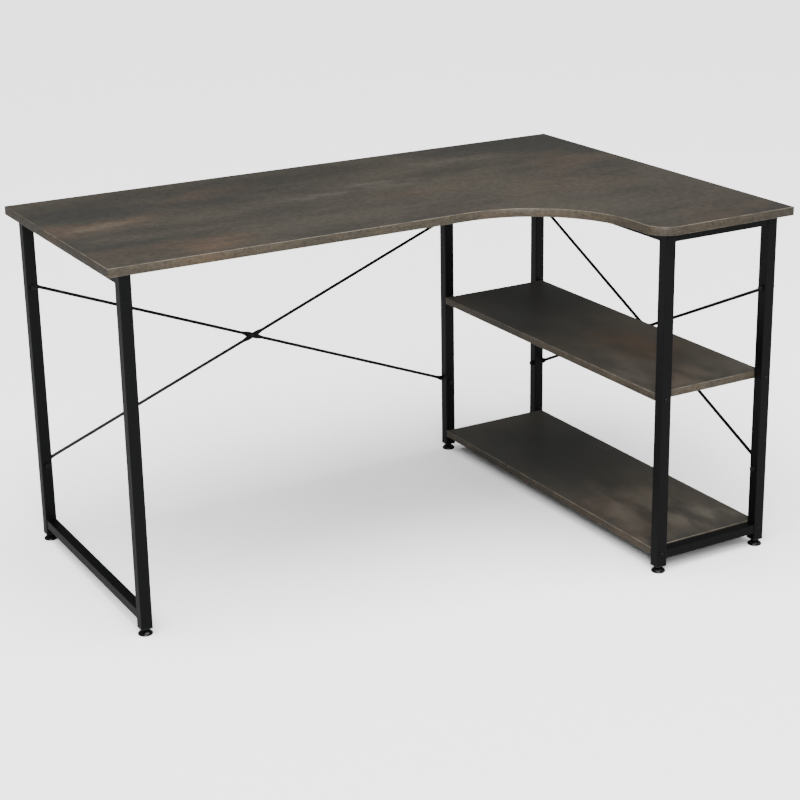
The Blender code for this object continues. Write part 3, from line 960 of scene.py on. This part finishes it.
@dataclass(frozen=True)
class Shapers:
    """The Geometry Nodes trees, each built once."""

    @cached_property
    def fastener_setter(self) -> bpy.types.NodeTree:
        """Sets a fastener at each point, with its own Z along the point's axis attribute.

        Returns:
            The Geometry Nodes tree.
        """
        sizes = {
            "Fastener": ("NodeSocketObject", None),
            "Size": ("NodeSocketFloat", 1.0),
            "Turn Spread": ("NodeSocketFloat", math.pi),
            "Seed": ("NodeSocketInt", 0),
        }
        graph, start, end = new_shaper("Fastener Setter", sizes)
        points = graph.add("GeometryNodeMeshToPoints", {"Mesh": start["Geometry"]}).outputs[0]
        axis = graph.add(
            "GeometryNodeInputNamedAttribute", {"Name": "axis"}, data_type="FLOAT_VECTOR"
        )
        goal = {"Vector": axis.outputs[0]}
        aimed = graph.add("FunctionNodeAlignRotationToVector", goal, axis="Z")
        least = graph.math("MULTIPLY", start["Turn Spread"], -1.0)
        turn = graph.random(least, start["Turn Spread"], start["Seed"])
        spin = graph.add("FunctionNodeAxisAngleToRotation", {"Axis": (0, 0, 1), "Angle": turn})
        both = graph.add(
            "FunctionNodeRotateRotation",
            {"Rotation": aimed.outputs[0], "Rotate By": spin.outputs[0]},
            rotation_space="LOCAL",
        )
        shape = graph.add(
            "GeometryNodeObjectInfo", {"Object": start["Fastener"]}, transform_space="ORIGINAL"
        )
        placing = {
            "Points": points,
            "Instance": shape.outputs["Geometry"],
            "Rotation": both.outputs[0],
            "Scale": start["Size"],
        }
        placed = graph.add("GeometryNodeInstanceOnPoints", placing).outputs[0]
        end_shaper(graph, placed, start["Finish"], end)
        return graph.tree

    @cached_property
    def weld_layer(self) -> bpy.types.NodeTree:
        """Lays a rippled weld bead along each run of edges.

        Returns:
            The Geometry Nodes tree.
        """
        sizes = {
            "Bead": ("NodeSocketFloat", 1.2 * MM),
            "Pitch": ("NodeSocketFloat", 1.0 * MM),
            "Ripple": ("NodeSocketFloat", 0.35),
            "Seed": ("NodeSocketInt", 0),
        }
        graph, start, end = new_shaper("Weld Layer", sizes)
        line = graph.add("GeometryNodeMeshToCurve", {"Mesh": start["Geometry"]}).outputs[0]
        spacing = {"Curve": line, "Length": start["Pitch"]}
        steps = graph.add("GeometryNodeResampleCurve", spacing, mode="LENGTH").outputs[0]
        swell = graph.random(graph.math("SUBTRACT", 1.0, start["Ripple"]), 1.0, start["Seed"])
        thick = graph.add("GeometryNodeSetCurveRadius", {"Curve": steps, "Radius": swell})
        bead = graph.swept(thick.outputs[0], start["Bead"], 8)
        smooth = graph.add("GeometryNodeSetShadeSmooth", {"Geometry": bead}).outputs[0]
        end_shaper(graph, smooth, start["Finish"], end)
        return graph.tree

    @cached_property
    def stud_thread(self) -> bpy.types.NodeTree:
        """Winds a screw thread round a stud and joins it to the piece.

        Returns:
            The Geometry Nodes tree.
        """
        sizes = {
            "Root": ("NodeSocketFloat", 3.4 * MM),
            "Crest": ("NodeSocketFloat", 0.5 * MM),
            "Turns": ("NodeSocketFloat", 15.0),
            "Height": ("NodeSocketFloat", 19 * MM),
            "Foot": ("NodeSocketVector", (0, 0, 0)),
        }
        graph, start, end = new_shaper("Stud Thread", sizes)
        spiral = {
            "Resolution": 18,
            "Rotations": start["Turns"],
            "Start Radius": start["Root"],
            "End Radius": start["Root"],
            "Height": start["Height"],
        }
        winding = graph.add("GeometryNodeCurveSpiral", spiral).outputs[0]
        thread = {"Geometry": graph.swept(winding, start["Crest"], 4), "Translation": start["Foot"]}
        placed = graph.add("GeometryNodeTransform", thread).outputs[0]
        joined = graph.add("GeometryNodeJoinGeometry")
        graph.feed(joined.inputs[0], start["Geometry"])
        graph.feed(joined.inputs[0], placed)
        end_shaper(graph, joined.outputs[0], start["Finish"], end)
        return graph.tree


# ---------------------------------------------------------------- boards


@dataclass
class Board:
    """A laminate board with a printed face, a backing sheet and a taped edge."""

    node: str
    face: Laminate
    tape: float = 1.4 * MM
    arris: float = 1.0 * MM

    def core_mesh(self) -> bpy.types.Mesh:
        """Makes the board inside its tape.

        Returns:
            Its mesh, with its face in material slot 0 and the rest in slot 1.
        """
        low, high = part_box(self.node)
        plan = inset(plan_of(self.node), self.tape)
        form = bmesh.new()
        below = [form.verts.new((*point, low.z)) for point in plan]
        above = [form.verts.new((*point, high.z)) for point in plan]
        form.faces.new(above)
        form.faces.new(below[::-1]).material_index = 1
        for index, corner in enumerate(below):
            after = (index + 1) % len(below)
            side = form.faces.new((corner, below[after], above[after], above[index]))
            side.material_index = 1
        form.normal_update()
        bmesh.ops.triangulate(form, faces=form.faces)
        return mesh_of(form, self.node + "_board")

    def profile(self) -> list:
        """The tape's section: each corner's depth and level, and if an arris starts there.

        Returns:
            The section's points.
        """
        low, high = (corner.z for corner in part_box(self.node))
        cut, nick = self.arris, self.arris * 0.3
        return [
            (0, low + cut, 0),
            (0, high - cut, 1),
            (nick, high - nick, 1),
            (cut, high, 0),
            (self.tape, high, 0),
            (self.tape, low, 0),
            (cut, low, 1),
            (nick, low + nick, 1),
        ]

    def tape_mesh(self) -> bpy.types.Mesh:
        """Makes the tape round the edge.

        Returns:
            Its mesh, with its arrises in material slot 1 and a map of its length.
        """
        profile = self.profile()
        plan = plan_of(self.node)
        form = bmesh.new()
        rings = [
            [form.verts.new((*point, level)) for point in inset(plan, depth)]
            for depth, level, _ in profile
        ]
        length = [0.0]
        for index, point in enumerate(plan):
            length.append(length[-1] + (plan[(index + 1) % len(plan)] - point).length)
        layer = form.loops.layers.uv.new("Along")
        for index in range(len(plan)):
            after = (index + 1) % len(plan)
            for step, (_, level, is_arris) in enumerate(profile):
                following = (step + 1) % len(profile)
                near, far = rings[step], rings[following]
                face = form.faces.new((near[index], near[after], far[after], far[index]))
                face.material_index = is_arris
                face.smooth = True
                next_level = profile[following][1]
                along = (length[index], length[index + 1], length[index + 1], length[index])
                across = (level, level, next_level, next_level)
                for loop, u, v in zip(face.loops, along, across):
                    loop[layer].uv = (u, v)
        mesh = mesh_of(form, self.node + "_edge_tape")
        mesh.set_sharp_from_angle(angle=TAPE_SHARP)
        return mesh

    def build(self, backing: bpy.types.Material, arris: bpy.types.Material) -> None:
        """Adds the board and its tape.

        Args:
            backing: the material of its underside.
            arris: the material of its tape's corners.
        """
        face = self.face.make()
        board = add_piece(self.node + "_board", self.core_mesh(), [face, backing])
        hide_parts(self.node)
        tape = EdgeTape(self.face).make()
        add_piece(self.node + "_edge_tape", self.tape_mesh(), [tape, arris])
        LOG.info("%s: board and edge tape, %d points round", self.node, len(plan_of(self.node)))


# ---------------------------------------------------------------- frame


@dataclass
class TubeFrame:
    """The posts, the rails and the weld beads that join them."""

    coating: bpy.types.Material
    shapers: Shapers
    bead: float = 0.7 * MM
    pitch: float = 1.1 * MM
    ripple: float = 0.3
    stand_off: float = 0.2 * MM
    end_gap: float = 0.1 * MM
    seed: int = 7

    def tubes(self) -> list:
        """The CAD nodes of every post and rail."""
        return [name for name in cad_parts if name.startswith(("post_", "rail_"))]

    def bead_runs(self) -> list:
        """The open run of corners that each rail end's bead follows, on its outer sides.

        Returns:
            One list of points for each rail end.
        """
        runs = []
        for name in self.tubes():
            if not name.startswith("rail_"):
                continue
            low, high, along = run_of(name)
            side = 1 - along
            out = self.stand_off
            near, far, under = low[side] - out, high[side] + out, low.z - out
            over = high.z if name.endswith("_top") else high.z + out
            for end, way in ((low[along], -1), (high[along], 1)):
                corners = []
                for place, level in ((near, over), (near, under), (far, under), (far, over)):
                    point = Vector((0, 0, level))
                    point[along] = end + way * self.end_gap
                    point[side] = place
                    corners.append(point)
                if name.endswith("_bottom"):
                    corners.append(corners[0].copy())
                runs.append(corners)
        return runs

    def build(self) -> None:
        """Coats the tubes and lays the beads."""
        for name in self.tubes():
            dress(name, self.coating)
        mesh = bpy.data.meshes.new("bead_runs")
        points, edges = [], []
        for run in self.bead_runs():
            edges += [(len(points) + step, len(points) + step + 1) for step in range(len(run) - 1)]
            points += run
        mesh.from_pydata(points, edges, [])
        inputs = {
            "Bead": self.bead,
            "Pitch": self.pitch,
            "Ripple": self.ripple,
            "Seed": self.seed,
            "Finish": self.coating,
        }
        beads = baked("weld_beads", mesh, self.shapers.weld_layer, inputs)
        add_piece("weld_beads", beads, [self.coating])
        LOG.info("frame: %d tubes coated, %d bead runs", len(self.tubes()), len(self.bead_runs()))


@dataclass
class Braces:
    """The two X-braces' rods."""

    coating: bpy.types.Material

    def build(self) -> None:
        """Coats the rods."""
        rods = [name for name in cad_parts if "_rod_" in name]
        for name in rods:
            dress(name, self.coating)
        LOG.info("braces: %d rods coated", len(rods))


# ---------------------------------------------------------------- fasteners


@dataclass(frozen=True)
class Seat:
    """Where a fastener sits, and the way its own Z points."""

    place: Vector
    axis: Vector


def major_axis(vector: Vector) -> Vector:
    """Finds the axis that a vector lies nearest to.

    Args:
        vector: the vector.

    Returns:
        The unit vector along its longest part, with its sign.
    """
    index = max(range(3), key=lambda item: abs(vector[item]))
    axis = Vector((0, 0, 0))
    axis[index] = math.copysign(1, vector[index])
    return axis


@dataclass
class FastenerSet:
    """Fasteners of one kind, made as one piece."""

    name: str
    rings: list
    seats: list
    replaced: list
    seed: int
    sides: int = 24
    spread: float = math.pi

    def build(self, finish: bpy.types.Material, shapers: Shapers) -> None:
        """Sets a copy at each seat.

        Args:
            finish: the plate on them.
            shapers: the Geometry Nodes trees.
        """
        one = turned(self.name + "_one", self.rings, self.sides)
        pattern = bpy.data.objects.new(self.name + "_pattern", one)
        bpy.context.scene.collection.objects.link(pattern)
        mesh = bpy.data.meshes.new(self.name + "_seats")
        mesh.from_pydata([seat.place for seat in self.seats], [], [])
        axes = mesh.attributes.new("axis", "FLOAT_VECTOR", "POINT")
        axes.data.foreach_set("vector", [part for seat in self.seats for part in seat.axis])
        inputs = {
            "Fastener": pattern,
            "Size": 1.0,
            "Turn Spread": self.spread,
            "Seed": self.seed,
            "Finish": finish,
        }
        result = baked(self.name, mesh, shapers.fastener_setter, inputs)
        bpy.data.objects.remove(pattern)
        piece = add_piece(self.name, result, [finish])
        if self.replaced:
            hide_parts(*self.replaced)
        LOG.info("%s: %d set", self.name, len(self.seats))


@dataclass(frozen=True)
class Screw:
    """A domed bolt's or screw's sizes."""

    radius: float
    height: float
    shank: float
    recess: Section = Section.HEXAGON


# Shares of a head's radius and height, from its seat to its crown
DOME = ((1.0, 0.0), (1.0, 0.28), (0.97, 0.42), (0.88, 0.66), (0.76, 0.83), (0.62, 0.95))


@dataclass
class Fasteners:
    """Every bolt, nut and screw of the desk."""

    finish: bpy.types.Material
    shapers: Shapers
    brace: Screw = Screw(6.0 * MM, 4.2 * MM, 3.0 * MM)
    crossing: Screw = Screw(4.8 * MM, 2.5 * MM, 2.5 * MM)
    shelf: Screw = Screw(4.5 * MM, 2.0 * MM, 2.5 * MM, Section.CROSS)
    desktop: Screw = Screw(4.6 * MM, 2.2 * MM, 2.1 * MM, Section.CROSS)
    screw_sides: int = 32
    thread_pitch: float = 1.0 * MM
    most_thread_rings: int = 20
    desktop_length: float = 32 * MM
    desktop_spacing: float = 0.3
    desktop_margin: float = 0.12

    def shank_rings(self, radius: float, length: float) -> list:
        """A threaded shank's rings, from its tip up to under the head.

        Args:
            radius: the thread's outer radius.
            length: from the head's seat to the tip.

        Returns:
            The rings, lowest first.
        """
        rings = [(0, -length), (radius * 0.75, -length), (radius, -length + radius * 0.25)]
        height = -length + radius * 0.25 + self.thread_pitch / 2
        crest = False
        while height < -2 * self.thread_pitch and len(rings) < self.most_thread_rings:
            rings.append((radius if crest else radius * 0.86, height))
            crest = not crest
            height += self.thread_pitch / 2
        rings.append((radius * 0.97, height))
        rings.append((radius * 0.97, 0))
        return rings

    def domed(self, screw: Screw, length: float) -> list:
        """A domed bolt or screw.

        Args:
            screw: its sizes.
            length: its shank's length.

        Returns:
            Its rings, from tip to recess.
        """
        radius, height, recess = screw.radius, screw.height, screw.recess
        mouth = radius * (0.44 if recess is Section.HEXAGON else 0.52)
        return [
            *self.shank_rings(screw.shank, length),
            *((radius * across, height * up) for across, up in DOME),
            (mouth + radius * 0.05, height),
            (mouth, height * 0.97, recess),
            (mouth * 0.94, height * 0.35, recess),
            (0, height * 0.22),
        ]

    def nut(self, box: float, height: float, bore: float) -> list:
        """A chamfered hexagon nut on the end of its bolt.

        Args:
            box: its radius across corners.
            height: its height.
            bore: its bolt's radius.

        Returns:
            Its rings, from seat to top.
        """
        hexagon = Section.HEXAGON
        return [
            (0, 0),
            (bore, 0),
            (box * 0.90, 0),
            (box, height * 0.09, hexagon),
            (box, height * 0.86, hexagon),
            (box * 0.88, height),
            (bore * 1.16, height),
            (bore, height * 0.93),
            (0, height * 0.93),
        ]

    def paired(self, name: str, screw: Screw, tails: tuple, seed: int) -> list:
        """Makes a kind of bolt and its nuts.

        Args:
            name: what the sets' names start with.
            screw: the bolts' sizes.
            tails: what the bolts' names hold, in order.
            seed: the bolts' random seed; the nuts have the next one.

        Returns:
            The set of bolts and the set of nuts.
        """
        found = [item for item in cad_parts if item.endswith("_bolt")]
        bolts = [item for tail in tails for item in found if tail in item]
        nuts = [item[: -len("bolt")] + "nut" for item in bolts]
        bolt_seats, nut_seats, length = [], [], 0.0
        for bolt, nut in zip(bolts, nuts):
            low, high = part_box(bolt)
            near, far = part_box(nut)
            centre, nut_centre = (low + high) / 2, (near + far) / 2
            axis = major_axis(centre - nut_centre)
            size = abs((high - low).dot(axis))
            length = length or size - screw.height
            bolt_seats.append(Seat(centre + axis * (size / 2 - screw.height), axis))
            nut_seats.append(Seat(nut_centre + axis * (abs((far - near).dot(axis)) / 2), -axis))
        near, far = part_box(nuts[0])
        hexagon = self.nut(max(far - near) / 2, min(far - near), screw.shank)
        return [
            FastenerSet(name + "_bolts", self.domed(screw, length), bolt_seats, bolts, seed),
            FastenerSet(name + "_nuts", hexagon, nut_seats, nuts, seed + 1),
        ]

    def shelf_set(self) -> FastenerSet:
        """Makes the screws through the posts into the shelves' ends.

        Returns:
            Their set.
        """
        names = [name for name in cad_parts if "_shelf_screw_" in name]
        seats, length = [], 0.0
        for name in names:
            low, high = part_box(name)
            centre = (low + high) / 2
            axis = Vector((0, math.copysign(1, centre.y), 0))
            length = high.y - low.y - self.shelf.height
            seats.append(Seat(centre + axis * ((high.y - low.y) / 2 - self.shelf.height), axis))
        rings = self.domed(self.shelf, length)
        return FastenerSet("shelf_screws", rings, seats, names, 15, self.screw_sides)

    def desktop_set(self) -> FastenerSet:
        """Makes the screws through the top rails up into the desktop.

        Returns:
            Their set.
        """
        seats = []
        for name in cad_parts:
            if not (name.startswith("rail_") and name.endswith("_top")):
                continue
            low, high, along = run_of(name)
            run = high[along] - low[along]
            gaps = max(1, round(run / self.desktop_spacing))
            for step in range(gaps + 1):
                place = (low + high) / 2
                place.z = low.z
                part = self.desktop_margin + (1 - 2 * self.desktop_margin) * step / gaps
                place[along] = low[along] + run * part
                seats.append(Seat(place, Vector((0, 0, -1))))
        rings = self.domed(self.desktop, self.desktop_length)
        return FastenerSet("desktop_screws", rings, seats, [], 16, self.screw_sides)

    def build(self) -> None:
        """Sets every fastener."""
        sets = self.paired("brace", self.brace, ("_high_", "_low_"), 11)
        sets += self.paired("crossing", self.crossing, ("_cross_",), 13)
        for group in [*sets, self.shelf_set(), self.desktop_set()]:
            group.build(self.finish, self.shapers)


# ---------------------------------------------------------------- feet


@dataclass
class LevellingFoot:
    """A levelling foot: a domed pad, a necked collar and a threaded stud."""

    station: Station
    finish: bpy.types.Material
    shapers: Shapers
    edge: float = 3.0 * MM
    collar: float = 6.5 * MM
    collar_height: float = 4.5 * MM
    stud: float = 4.0 * MM
    stud_length: float = 21.0 * MM
    thread_depth: float = 0.5 * MM
    thread_margin: float = 1.2 * MM
    pitch: float = 1.25 * MM
    hollow: float = 0.6 * MM
    sides: int = 48

    def rings(self, pad: float, top: float) -> list:
        """The foot's rings, from the floor to the stud's tip.

        Args:
            pad: the pad's radius.
            top: the height of the stud's tip.

        Returns:
            The rings, lowest first.
        """
        neck_top = top - self.stud_length
        neck_bottom = neck_top - self.collar_height
        rise = neck_bottom - self.edge
        root = self.stud - self.thread_depth
        rim = [(0.93, 0), (0.98, 0.12), (1, 0.35), (1, 0.75), (0.985, 0.92)]
        dome = [(0.95, 0.06), (0.88, 0.22), (0.79, 0.40), (0.69, 0.58), (0.60, 0.76), (0.53, 0.90)]
        neck = [(1, 0), (0.90, 0.18), (0.90, 0.45), (0.98, 0.60), (1, 0.70)]
        return [
            (0, self.hollow),
            (pad * 0.72, self.hollow),
            (pad * 0.75, 0),
            *((pad * across, self.edge * up) for across, up in rim),
            *((pad * across, self.edge + rise * up) for across, up in dome),
            *((self.collar * across, neck_bottom + self.collar_height * up) for across, up in neck),
            (self.collar, neck_top - 0.25 * MM),
            (self.collar * 0.95, neck_top),
            (root, neck_top),
            (root, top - 0.8 * MM),
            (root * 0.75, top),
            (0, top),
        ]

    def build(self) -> None:
        """Adds the foot on its own body."""
        node = "foot_" + self.station.value
        low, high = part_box(node)
        centre = (low + high) / 2
        base = Vector((centre.x, centre.y, low.z))
        pad = (high.x - low.x) / 2
        mesh = turned(node + "_turned", self.rings(pad, high.z - low.z), self.sides, base)
        reach = self.stud_length - 2 * self.thread_margin
        thread_foot = high.z - low.z - self.stud_length + self.thread_margin
        inputs = {
            "Root": self.stud - self.thread_depth,
            "Crest": self.thread_depth,
            "Turns": reach / self.pitch,
            "Height": reach,
            "Foot": base + Vector((0, 0, thread_foot)),
            "Finish": self.finish,
        }
        mesh = baked(node + "_detailed", mesh, self.shapers.stud_thread, inputs)
        body = self.station.value + "_foot"
        piece = add_piece(node + "_detailed", mesh, [self.finish], body)
        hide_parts(node)
        LOG.info("%s: turned and threaded", node)


@dataclass
class EndPlugs:
    """The plastic end plugs under the posts."""

    finish: bpy.types.Material

    def build(self) -> None:
        """Gives each plug its finish."""
        for station in Station:
            dress("plug_" + station.value, self.finish)
        LOG.info("plugs: %d finished", len(Station))


# ---------------------------------------------------------------- studio


@dataclass
class Studio:
    """A pale floor, soft lights and the camera; its turn is yaw, pitch and roll in degrees."""

    floor_size: float = 90.0
    floor_colour: tuple = (0.90, 0.90, 0.90, 1)
    bounce_colour: tuple = (0.142, 0.142, 0.145, 1)
    fill: float = 0.11
    backdrop: float = 2.7
    floor_sun: float = 9.3
    floor_sun_spread: float = math.radians(70)
    floor_sun_turn: tuple = (math.radians(12), math.radians(-14), 0)
    camera_place: tuple = (-1.802, -3.181, 1.637)
    camera_turn: tuple = (-30.36, -17.70, -0.75)
    lens: float = 82.38
    shift: tuple = (-0.0276, -0.08)

    def floor_material(self) -> bpy.types.Material:
        """Makes the floor pale to the camera, darker to bounced light, and clear from below.

        Returns:
            The floor's material.
        """
        material, graph = new_material("studio_floor")
        path = graph.add("ShaderNodeLightPath")
        grain = graph.remap(graph.noise(graph.place(), 40, 3), 0.3, 0.7, 0.985, 1.0)
        pale = graph.times(self.floor_colour, graph.grey(grain))
        colour = graph.blend(path.outputs["Is Camera Ray"], self.bounce_colour, pale)
        diffuse = graph.add("ShaderNodeBsdfDiffuse", {"Color": colour})
        clear = graph.add("ShaderNodeBsdfTransparent")
        side = graph.add("ShaderNodeNewGeometry").outputs["Backfacing"]
        faces = {0: side, 1: diffuse.outputs[0], 2: clear.outputs[0]}
        mixed = graph.add("ShaderNodeMixShader", faces)
        graph.add("ShaderNodeOutputMaterial", {"Surface": mixed.outputs[0]})
        return material

    def add_floor(self) -> bpy.types.Object:
        """Adds the floor.

        Returns:
            The floor.
        """
        half = self.floor_size / 2
        form = bmesh.new()
        signs = ((-1, -1), (1, -1), (1, 1), (-1, 1))
        form.faces.new([form.verts.new((x * half, y * half, 0)) for x, y in signs])
        floor = bpy.data.objects.new("studio_floor", mesh_of(form, "studio_floor"))
        floor.data.materials.append(self.floor_material())
        bpy.context.scene.collection.objects.link(floor)
        return floor

    def add_softbox(self, name: str, place: tuple, aim: tuple, size: tuple, power: float) -> None:
        """Adds an area light.

        Args:
            name: the light's name.
            place: where it hangs.
            aim: the point that it faces.
            size: its width and height.
            power: its power in watts.
        """
        data = bpy.data.lights.new(name, "AREA")
        data.shape = "RECTANGLE"
        data.size, data.size_y = size
        data.energy = power
        light = bpy.data.objects.new(name, data)
        light.location = place
        light.rotation_euler = (Vector(aim) - Vector(place)).to_track_quat("-Z", "Y").to_euler()
        bpy.context.scene.collection.objects.link(light)

    def light_world(self) -> None:
        """A soft, even fill for the object, and a white backdrop for the camera."""
        world = bpy.data.worlds.new("studio_world")
        bpy.context.scene.world = world
        world.use_nodes = True
        graph = Graph(world.node_tree)
        path = graph.add("ShaderNodeLightPath")
        sky = {"Color": (0.97, 0.99, 1.0, 1), "Strength": self.fill}
        fill = graph.add("ShaderNodeBackground", sky).outputs[0]
        paper = {"Color": (1, 1, 1, 1), "Strength": self.backdrop}
        white = graph.add("ShaderNodeBackground", paper).outputs[0]
        sides = {0: path.outputs["Is Camera Ray"], 1: fill, 2: white}
        mixed = graph.add("ShaderNodeMixShader", sides)
        graph.add("ShaderNodeOutputWorld", {"Surface": mixed.outputs[0]})

    def light_floor(self, floor: bpy.types.Object) -> None:
        """A broad overhead light that falls on the floor alone, so that it reads as pale paper.

        Args:
            floor: the floor.
        """
        only = bpy.data.collections.new("floor_only")
        only.objects.link(floor)
        data = bpy.data.lights.new("floor_light", "SUN")
        data.energy = self.floor_sun
        data.angle = self.floor_sun_spread
        light = bpy.data.objects.new("floor_light", data)
        light.rotation_euler = self.floor_sun_turn
        bpy.context.scene.collection.objects.link(light)
        light.light_linking.receiver_collection = only

    def add_camera(self) -> None:
        """Adds the camera."""
        data = bpy.data.cameras.new("studio_camera")
        data.lens = self.lens
        data.sensor_width = 36.0
        data.shift_x, data.shift_y = self.shift
        data.clip_end = 200.0
        camera = bpy.data.objects.new("studio_camera", data)
        yaw, pitch, roll = (math.radians(value) for value in self.camera_turn)
        level = Matrix.Rotation(yaw, 4, "Z") @ Matrix.Rotation(math.pi / 2 + pitch, 4, "X")
        turn = level @ Matrix.Rotation(roll, 4, "Z")
        camera.matrix_world = Matrix.Translation(self.camera_place) @ turn
        bpy.context.scene.collection.objects.link(camera)
        bpy.context.scene.camera = camera

    def build(self) -> None:
        """Adds the floor, the lights and the camera."""
        floor = self.add_floor()
        self.light_world()
        self.light_floor(floor)
        for name, place, aim, size, power in (
            ("key_softbox", (-2.1, -4.2, 2.8), (0.0, 0.0, 0.45), (2.6, 2.2), 265.0),
            ("top_softbox", (0.2, -0.6, 3.6), (0.1, 0.0, 0.7), (3.4, 2.6), 62.0),
            ("right_softbox", (3.6, -2.2, 1.8), (0.1, 0.0, 0.4), (1.8, 2.2), 20.0),
        ):
            self.add_softbox(name, place, aim, size, power)
        self.add_camera()
        LOG.info("studio: floor, lights and camera")


# ---------------------------------------------------------------- desk


RUST, PALE, SLATE = CloudTone.RUST, CloudTone.PALE, CloudTone.SLATE

DESKTOP_CLOUDS = (
    Cloud(RUST, (-0.600, 0.180), (0.130, 0.055), 0.75),
    Cloud(PALE, (-0.590, 0.175), (0.090, 0.032), 0.45),
    Cloud(RUST, (-0.260, 0.325), (0.110, 0.060), 0.35),
    Cloud(RUST, (-0.420, -0.060), (0.120, 0.070), 0.55),
    Cloud(RUST, (-0.560, -0.070), (0.160, 0.060), 0.25),
    Cloud(PALE, (-0.055, 0.192), (0.090, 0.030), 0.50),
    Cloud(PALE, (0.115, 0.200), (0.110, 0.024), 0.45),
    Cloud(SLATE, (-0.450, 0.380), (0.200, 0.070), 0.45),
    Cloud(SLATE, (-0.020, 0.360), (0.260, 0.080), 0.50),
    Cloud(SLATE, (0.245, 0.215), (0.130, 0.050), 0.45),
    Cloud(SLATE, (-0.450, 0.085), (0.180, 0.035), 0.40),
    Cloud(RUST, (0.525, 0.170), (0.110, 0.140), 0.20),
    Cloud(RUST, (0.430, -0.020), (0.140, 0.110), 0.16),
    Cloud(PALE, (0.330, 0.300), (0.120, 0.040), 0.20),
    Cloud(RUST, (0.520, -0.400), (0.120, 0.090), 0.30),
    Cloud(SLATE, (0.540, -0.270), (0.210, 0.230), 0.24),
)
# Upper shelf: the deep slate cloud towards the rear is painted shade under the desktop, the pale
# clouds towards the front are painted light on the print, and the rust clouds are print.
UPPER_SHELF_PRINT_AND_PAINTED_LIGHT = (
    Cloud(RUST, (0.520, -0.130), (0.090, 0.150), 0.60),
    Cloud(PALE, (0.450, -0.260), (0.090, 0.160), 0.50),
    Cloud(RUST, (0.500, -0.350), (0.080, 0.070), 0.50),
    Cloud(PALE, (0.560, -0.360), (0.080, 0.090), 0.40),
    Cloud(SLATE, (0.520, 0.260), (0.160, 0.220), 0.60),
)
# Lower shelf: the deep slate cloud towards the rear is painted shade under the boards above, the
# pale clouds towards the front are painted light on the print, and the rust clouds are print.
LOWER_SHELF_PRINT_AND_PAINTED_LIGHT = (
    Cloud(PALE, (0.495, -0.190), (0.060, 0.130), 0.65),
    Cloud(RUST, (0.480, -0.170), (0.080, 0.130), 0.40),
    Cloud(PALE, (0.550, -0.300), (0.060, 0.090), 0.75),
    Cloud(PALE, (0.440, -0.320), (0.080, 0.110), 0.35),
    Cloud(RUST, (0.440, -0.320), (0.080, 0.080), 0.40),
    Cloud(SLATE, (0.510, 0.180), (0.170, 0.280), 0.80),
)


def main() -> None:
    """Builds the studio and the desk."""
    logging.basicConfig(level=logging.INFO, format="%(name)s: %(message)s")
    effects = Effects()
    shapers = Shapers()
    Studio().build()
    backing = BackingSheet(effects).make()
    arris = TapeArris("tape_arris", effects).make()
    for node, clouds, turn in (
        ("desktop", DESKTOP_CLOUDS, 0.0),
        ("upper_shelf", UPPER_SHELF_PRINT_AND_PAINTED_LIGHT, math.radians(86)),
        ("lower_shelf", LOWER_SHELF_PRINT_AND_PAINTED_LIGHT, math.radians(94)),
    ):
        face = Laminate(node + "_print", clouds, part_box(node)[1].z, effects, turn)
        Board(node, face).build(backing, arris)
    coating = Coating("powder_coat", effects).make()
    rod_coating = Coating("rod_coat", effects, roughness=(0.32, 0.44), peel_scale=1400.0).make()
    TubeFrame(coating, shapers).build()
    Braces(rod_coating).build()
    Fasteners(BlackZinc(effects).make(), shapers).build()
    plastic = MouldedPlastic(effects).make()
    EndPlugs(plastic).build()
    for station in Station:
        LevellingFoot(station, plastic, shapers).build()


if __name__ == "__main__":
    main()
